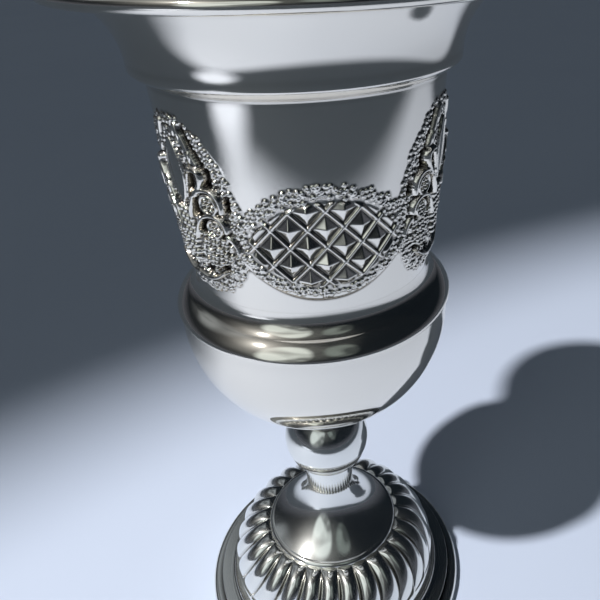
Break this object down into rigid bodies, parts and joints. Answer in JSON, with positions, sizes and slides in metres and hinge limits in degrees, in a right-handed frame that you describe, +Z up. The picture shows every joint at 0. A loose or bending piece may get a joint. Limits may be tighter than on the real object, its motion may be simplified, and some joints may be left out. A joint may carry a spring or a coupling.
{
  "type": "footed ceremonial goblet",
  "caption": "Open footed goblet with a flared mouth, a wall struck with lattice and grape panels, a collar over a round bowl, a ball knop and a domed foot of swirled gadroons.",
  "frame": {"origin": "on the table, under the middle of the foot", "axes": "+Z up along the goblet's axis to the mouth, -Y to the front, the side that faces the viewer"},
  "size_m": [0.075, 0.075, 0.15],
  "materials": {
    "silver_plate": "mirror-polished silver plate over brass sheet",
    "boss_brass": "turned, unplated",
    "clamp_steel": "zinc-plated, dull"
  },
  "bodies": {
    "goblet": {"lip_wire": "silver_plate", "beaker": "silver_plate", "collar_ring": "silver_plate", "lower_bowl": "silver_plate", "bowl_boss": "boss_brass", "stem_rod": "clamp_steel", "knop_upper": "silver_plate", "knop_lower": "silver_plate", "stem_cone": "silver_plate", "bead_wire": "silver_plate", "gadroon_band": "silver_plate", "foot_rim": "silver_plate"},
    "clamp": {"clamp_plate": "clamp_steel", "lock_washer": "clamp_steel"},
    "nut": {"clamp_nut": "clamp_steel"}
  },
  "joints": [
    {"name": "clamp_slide", "type": "slide", "parent": "goblet", "child": "clamp", "axis": [0, 0, -1], "range_m": [0, 0.004]},
    {"name": "nut_turn", "type": "hinge", "parent": "clamp", "child": "nut", "pos_m": [0, 0, 0.0138], "axis": [0, 0, -1], "range_deg": [0, 1800]}
  ],
  "couplings": [
    {"joint": "nut_turn", "follows": "clamp_slide", "rad_per_m": 7853.9}
  ]
}
